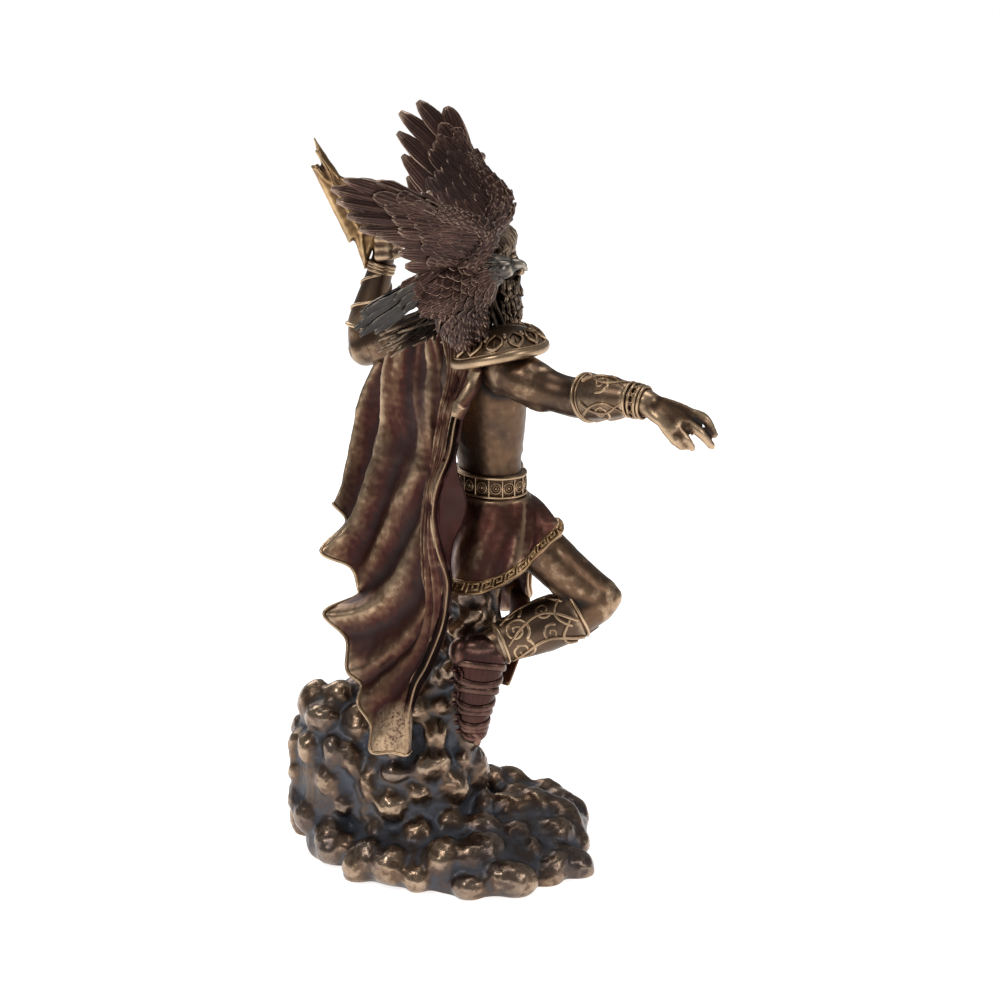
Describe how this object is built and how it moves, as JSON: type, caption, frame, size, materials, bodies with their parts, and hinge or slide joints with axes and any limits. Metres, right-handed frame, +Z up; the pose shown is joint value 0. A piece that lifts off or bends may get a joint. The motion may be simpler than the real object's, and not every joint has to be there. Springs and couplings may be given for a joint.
{
  "type": "bronze-finish figurine",
  "caption": "Cold-cast bronze-finish figurine of a bearded sky god striding on clouds, with an eagle on one shoulder and a thunderbolt in the raised fist.",
  "frame": {"origin": "middle of the cloud base's underside, on the surface it stands on", "axes": "+Z up, +X the way the outstretched right arm points, +Y towards the figure's raised left arm"},
  "size_m": [0.1636, 0.1166, 0.2957],
  "materials": {
    "bronze": "antique cold-cast bronze, dark with gold-brushed edges",
    "plumage": "dark reddish bronze with brushed feather edges",
    "gilt": "burnished gold with brown in the creases"
  },
  "bodies": {
    "root": {"statue": "bronze", "eagle": "plumage", "thunderbolt": "gilt"}
  },
  "joints": []
}
